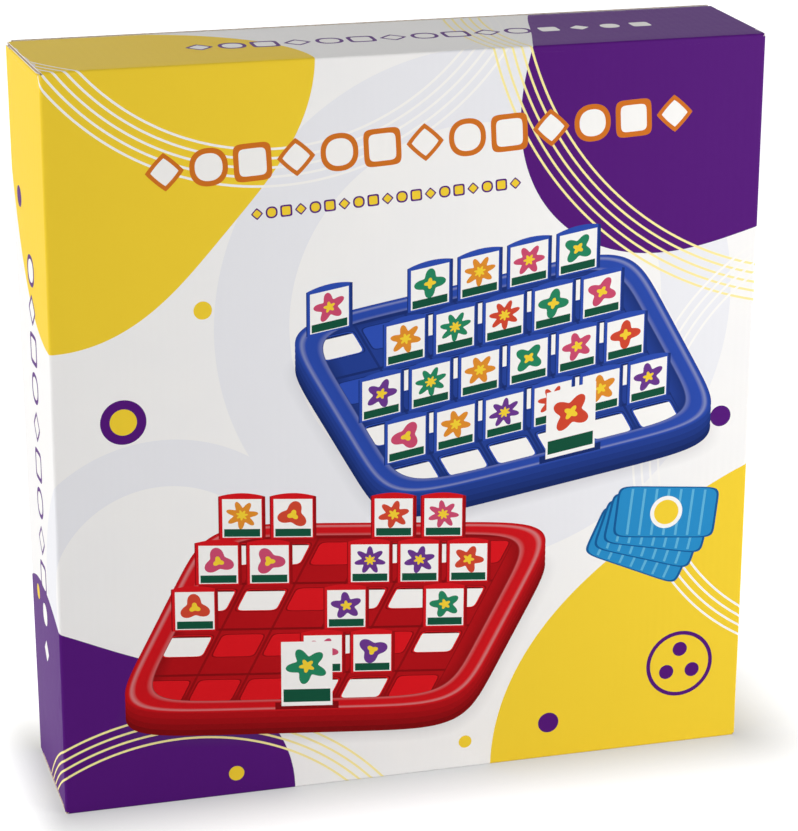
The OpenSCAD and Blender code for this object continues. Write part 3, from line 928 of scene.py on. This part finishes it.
def dust_flap(end, side):
    """A dust flap with its crease: it turns in from a side panel and narrows.

    Its front edge falls back steadily, and its back edge comes in past the shoulder.
    """
    edge, way = ENDS[end]["edge"], ENDS[end]["way"]
    name = f"{end}_dust_flap_{'left' if side < 0 else 'right'}"
    level = edge - way * PANEL_EDGE
    length = FLAP_HI[0] - FLAP_LO[0]
    wall_x = side * WIDTH / 2
    corners = [(wall_x, level - way * CREASE_REACH), (wall_x, level),
               (wall_x - side * length, level)]
    front, back = FLAP_ROOT
    shoulder = length / 3

    def spans(s):
        out = np.clip(s - CREASE_REACH, 0, None)
        low = front + FLAP_SLOPE * out
        tip = front + FLAP_SLOPE * length + FLAP_TIP_W
        high = back + (tip - back) * np.clip((out - shoulder) / (length - shoulder), 0, 1)
        return low, high

    def place(path, across):
        return np.stack([path[..., 0], across, path[..., 1]], -1)

    def sheet(s, across):
        return np.stack([side * (WIDTH / 2 + across - FRONT_Y),
                         level + way * (s - CREASE_REACH)], -1)

    board = lay_board(f"{name}_board", corners, [END_FOLD_R], END_FOLD_THIN, way * side, place,
                      spans, sheet, 3 * MM, "down")
    piece = board.finished(PAPERS)
    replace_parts(piece, name)
    level - way * CREASE_REACH
    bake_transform(piece)


carton_walls()
for end in ENDS:
    end_closure(end)
    end_tongue(end)
    dust_flap(end, -1)
    dust_flap(end, 1)


def solid_space(tree):
    """The object's own coordinates in centimetres, as a solid that noise runs through."""
    place = tree.nodes.new("ShaderNodeTexCoord")
    return Plane(tree, in_centimetres(tree, place.outputs["Object"]))


def object_plane(solid, across=0, up=2):
    """Two of a solid's coordinates: X and Z, or others."""
    parts = solid.tree.nodes.new("ShaderNodeSeparateXYZ")
    solid.tree.links.new(solid.vector, parts.inputs[0])
    return Plane.joined(Term(solid.tree, parts.outputs[across]),
                        Term(solid.tree, parts.outputs[up]))


def moulded_plastic(name, colour):
    """Glossy moulded plastic: a fine grain, slow colour drift and flow marks in the gloss."""
    material, tree, shader = new_material(name)
    solid = solid_space(tree)
    drift = solid.noise(0.6, 3.0)
    ink = Ink(tree, scaled(colour, 0.86))
    ink.over(drift, scaled(colour, 1.12))
    tree.links.new(ink.colour, shader.inputs["Base Color"])
    grain = solid.noise(90.0, 2.0)
    flow = (solid.noise(0.9, 2.0) * 9.0).math("SINE") * 0.04
    rough = grain * 0.08 + flow + 0.24
    tree.links.new(rough.socket, shader.inputs["Roughness"])
    shader.inputs["Coat Weight"].default_value = 0.15
    shader.inputs["Coat Roughness"].default_value = 0.12
    add_bump(tree, shader, grain, 0.08, 0.0002)
    return material


# A card pack's width and the radius of a flip frame's round edge, in centimetres
PACK_W = 5.8
BARREL_R = 0.13

# How wide the edges of the mouldings are rounded
TRAY_EDGE = 0.25 * MM
FRAME_EDGE = 0.15 * MM


def paper_finish(tree, shader, plane):
    """The dry gloss and fine grain of coated card."""
    grain = plane.noise(40.0, 3.0)
    rough = grain * 0.15 + 0.35
    tree.links.new(rough.socket, shader.inputs["Roughness"])
    add_bump(tree, shader, grain, 0.1, 0.0002)


def card_backs():
    """The packs' cards: a sky-blue back with discs inside a white border, and white layered edges."""
    material, tree, shader = new_material("card_backs")
    solid = solid_space(tree)
    flat = object_plane(solid, 0, 1)
    lo, hi = (np.array(c) * CM_PER_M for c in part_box("card_packs"))
    pack_x = hi[0] - PACK_W / 2
    here = Plane.joined(abs(flat.x) - pack_x, flat.y - (lo[1] + hi[1]) / 2)
    ink = Ink(tree, WHITE_INK)
    field = here.squircle(PACK_W / 2 - 0.25, (hi[1] - lo[1]) / 2 - 0.25, 12.0) < 1.0
    ink.over(field, SKY)
    spots = here.x.math("PINGPONG", 0.3) * here.y.math("PINGPONG", 0.3)
    ink.over(field * (spots > 0.035), linear(96, 176, 214))
    ink.over(here.disc((0, 0), 1.05), WHITE_INK)
    ink.over(here.disc((0, 0), 0.9), YELLOW)
    geometry = tree.nodes.new("ShaderNodeNewGeometry")
    facing = tree.nodes.new("ShaderNodeSeparateXYZ")
    tree.links.new(geometry.outputs["Normal"], facing.inputs[0])
    edge = abs(Term(tree, facing.outputs[2])) < 0.5
    fibre = solid.noise(30.0, 3.0)
    ink.over(edge, linear(232, 230, 224))
    ink.over(edge * fibre, linear(206, 200, 190), 0.5)
    tree.links.new(ink.colour, shader.inputs["Base Color"])
    paper_finish(tree, shader, solid)
    return material


def portrait_print(side):
    """The cards in one tray's frames, each with its own petal figure.

    The first frame's box gives the grid's corner, and the next column's and row's give its steps.
    """
    first, column, row = (np.array(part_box(f"{side}_flip_frame_{key}")) * CM_PER_M
                          for key in ("a1", "a2", "b1"))
    start = first[:, 0].mean()
    step = column[:, 0].mean() - start
    hinge = first[1, 2] - BARREL_R
    fall = first[1, 2] - row[1, 2]
    material, tree, shader = new_material(f"{side}_portrait_cards")
    solid = solid_space(tree)
    flat = object_plane(solid)
    place_x = (flat.x - start) / step + 0.5
    place_z = (flat.y - hinge) / -fall
    u = (place_x.math("FRACT") - 0.5) * step
    h = place_z.math("FRACT") * fall - 0.2
    luck = chance(tree, place_x.math("FLOOR"), place_z.math("FLOOR"), 3.0 + step)
    ink = Ink(tree, WHITE_INK)
    portrait(ink, u, h, abs(u) < 9.0, luck, 2.9, 3.3)
    tree.links.new(ink.colour, shader.inputs["Base Color"])
    paper_finish(tree, shader, solid)
    return material


def shells(work):
    """The mesh's separate shells, each as a list of faces, the one with the most faces first."""
    left = set(work.faces)
    found = []
    while left:
        stack = [left.pop()]
        shell = []
        while stack:
            face = stack.pop()
            shell.append(face)
            for edge in face.edges:
                for other in edge.link_faces:
                    if other in left:
                        left.remove(other)
                        stack.append(other)
        found.append(shell)
    return sorted(found, key=len, reverse=True)


def rounded_copy(name, materials, edge_width):
    """A moulded piece: a copy of its node with merged points, flat faces joined and soft edges.

    The largest shell takes the first material, and any other shell takes the second.
    """
    work = bmesh.new()
    work.from_mesh(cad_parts[name].data)
    bmesh.ops.remove_doubles(work, verts=work.verts, dist=0.001 * MM)
    bmesh.ops.dissolve_limit(work, angle_limit=math.radians(0.5), verts=work.verts,
                             edges=work.edges)
    for index, shell in enumerate(shells(work)):
        for face in shell:
            face.material_index = min(index, len(materials) - 1)
            face.smooth = True
    mesh = bpy.data.meshes.new(f"{name}_moulding")
    work.to_mesh(mesh)
    work.free()
    for material in materials:
        mesh.materials.append(material)
    piece = bpy.data.objects.new(f"{name}_moulding", mesh)
    scene.collection.objects.link(piece)
    soften = piece.modifiers.new("soft_edges", "BEVEL")
    soften.width = edge_width
    soften.segments = 2
    soften.limit_method = "ANGLE"
    soften.angle_limit = math.radians(35)
    piece.modifiers.new("even_shading", "WEIGHTED_NORMAL").keep_sharp = True
    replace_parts(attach(piece, name), name)
    return piece


for side, colour in (("red", RED), ("blue", BLUE)):
    plastic = moulded_plastic(f"{side}_moulding", colour)
    cards = portrait_print(side)
    rounded_copy(f"{side}_tray", [plastic], TRAY_EDGE)
    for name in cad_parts:
        if name.startswith(f"{side}_flip_frame"):
            rounded_copy(name, [plastic, cards], FRAME_EDGE)
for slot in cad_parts["card_packs"].material_slots:
    slot.material = card_backs()


# The studio: what the floor sends back to the object and to the camera, the floor's low lift next
# to the carton, which paints a grey shadow round its foot over the lamps' real shadow, how far off
# that painted shadow fades to white, how much sooner it does so on the left, and the world's light
# on the object
BOUNCE, PALE = 0.7, 0.35
PAINTED_SHADOW_LIFT = 0.38
PAINTED_SHADOW_CM = 4.5
PAINTED_SHADOW_LEFT = 2.5
SKY_LEVEL = 0.25


def seen_rays(tree):
    """1 for the rays that show a surface, straight or in a mirror or glass, and 0 for others."""
    path = tree.nodes.new("ShaderNodeLightPath")
    rays = [Term(tree, path.outputs[f"Is {kind} Ray"]) for kind in ("Camera", "Glossy", "Transmission")]
    return rays[0].math("MAXIMUM", rays[1]).math("MAXIMUM", rays[2])


def studio():
    """A pale floor that keeps the lamps' real shadow and has a painted grey shadow round the carton's
    foot, a white surround, and soft lamps at a plain level.
    """
    mesh = bpy.data.meshes.new("floor")
    reach = 6.0
    mesh.from_pydata([(-reach, -reach, 0), (reach, -reach, 0), (reach, reach, 0),
                      (-reach, reach, 0)], [], [(0, 1, 2, 3)])
    floor = bpy.data.objects.new("floor", mesh)
    scene.collection.objects.link(floor)
    material, tree, shader = new_material("pale_floor")
    shader.inputs["Roughness"].default_value = 0.9
    shader.inputs["Specular IOR Level"].default_value = 0.0
    flat = object_plane(solid_space(tree), 0, 1)
    half_w, half_d = WIDTH * CM_PER_M / 2, DEPTH * CM_PER_M / 2
    # Painted shadow: the floor's white lift is low next to the carton and rises to full a few
    # centimetres out, sooner on the left, so the floor there is grey whatever light falls on it
    left = (flat.x * -1.0 - half_w) * PAINTED_SHADOW_LEFT
    beside = (flat.x - half_w).math("MAXIMUM", left).math("MAXIMUM", 0.0)
    before = (abs(flat.y) - half_d).math("MAXIMUM", 0.0)
    far = ((beside * beside + before * before).math("SQRT") / PAINTED_SHADOW_CM).math("MINIMUM", 1.0)
    seen = seen_rays(tree)
    grey = seen * -(BOUNCE - PALE) + BOUNCE
    tree.links.new(grey.socket, shader.inputs["Base Color"])
    # The lift, low near the carton, paints the grey shadow round its foot
    lift = (far * (1 - PAINTED_SHADOW_LIFT) + PAINTED_SHADOW_LIFT) * seen
    tree.links.new(lift.socket, shader.inputs["Emission Strength"])
    shader.inputs["Emission Color"].default_value = (1, 1, 1, 1)
    mesh.materials.append(material)

    world = bpy.data.worlds.new("surround")
    scene.world = world
    world.use_nodes = True
    tree = world.node_tree
    backdrop = tree.nodes["Background"]
    backdrop.inputs["Color"].default_value = (1, 1, 1, 1)
    level = seen_rays(tree) * (1 - SKY_LEVEL) + SKY_LEVEL
    tree.links.new(level.socket, backdrop.inputs["Strength"])

    def lamp(name, place, target, size, power):
        light = bpy.data.lights.new(name, "AREA")
        light.shape = "RECTANGLE"
        light.size, light.size_y = size
        light.energy = power
        lamp_object = bpy.data.objects.new(name, light)
        scene.collection.objects.link(lamp_object)
        lamp_object.location = place
        way = Vector(target) - Vector(place)
        lamp_object.rotation_mode = "QUATERNION"
        lamp_object.rotation_quaternion = way.to_track_quat("-Z", "Y")

    middle = (0, 0, HEIGHT / 2)
    lamp("left_softbox", (-1.9, -0.25, 0.45), middle, (1.2, 1.2), 29)
    lamp("right_softbox", (0.62, -0.60, 0.30), middle, (0.5, 0.5), 5.3)
    lamp("back_softbox", (-0.3, 1.5, 1.5), middle, (1.2, 1.2), 11)


studio()


def photo_camera():
    """The camera that gives the photograph's perspective, fitted on the carton's corners."""
    azimuth, elevation, roll = (math.radians(a) for a in (-15.835, 18.867, 0.263))
    focal_px, distance = 2930.3, 1.1382
    shift_x, shift_y = -0.00446, 0.13912
    image_w, image_h = 798, 831
    back = np.array([math.sin(azimuth) * math.cos(elevation),
                     -math.cos(azimuth) * math.cos(elevation), math.sin(elevation)])
    right = np.cross([0, 0, 1], back)
    right = right / np.linalg.norm(right)
    up = np.cross(back, right)
    cos, sin = math.cos(roll), math.sin(roll)
    axes = np.stack([cos * right + sin * up, -sin * right + cos * up, back])
    place = axes.T @ np.array([shift_x, shift_y, distance]) + np.array([0, FRONT_Y, 0])
    data = bpy.data.cameras.new("photo_camera")
    data.sensor_width = 36
    data.lens = focal_px * data.sensor_width / max(image_w, image_h)
    camera = bpy.data.objects.new("photo_camera", data)
    scene.collection.objects.link(camera)
    camera.matrix_world = Matrix([[*axes[:, i], place[i]] for i in range(3)] + [[0, 0, 0, 1]])
    scene.camera = camera


photo_camera()
scene.view_settings.view_transform = "Standard"

bpy.context.view_layer.update()
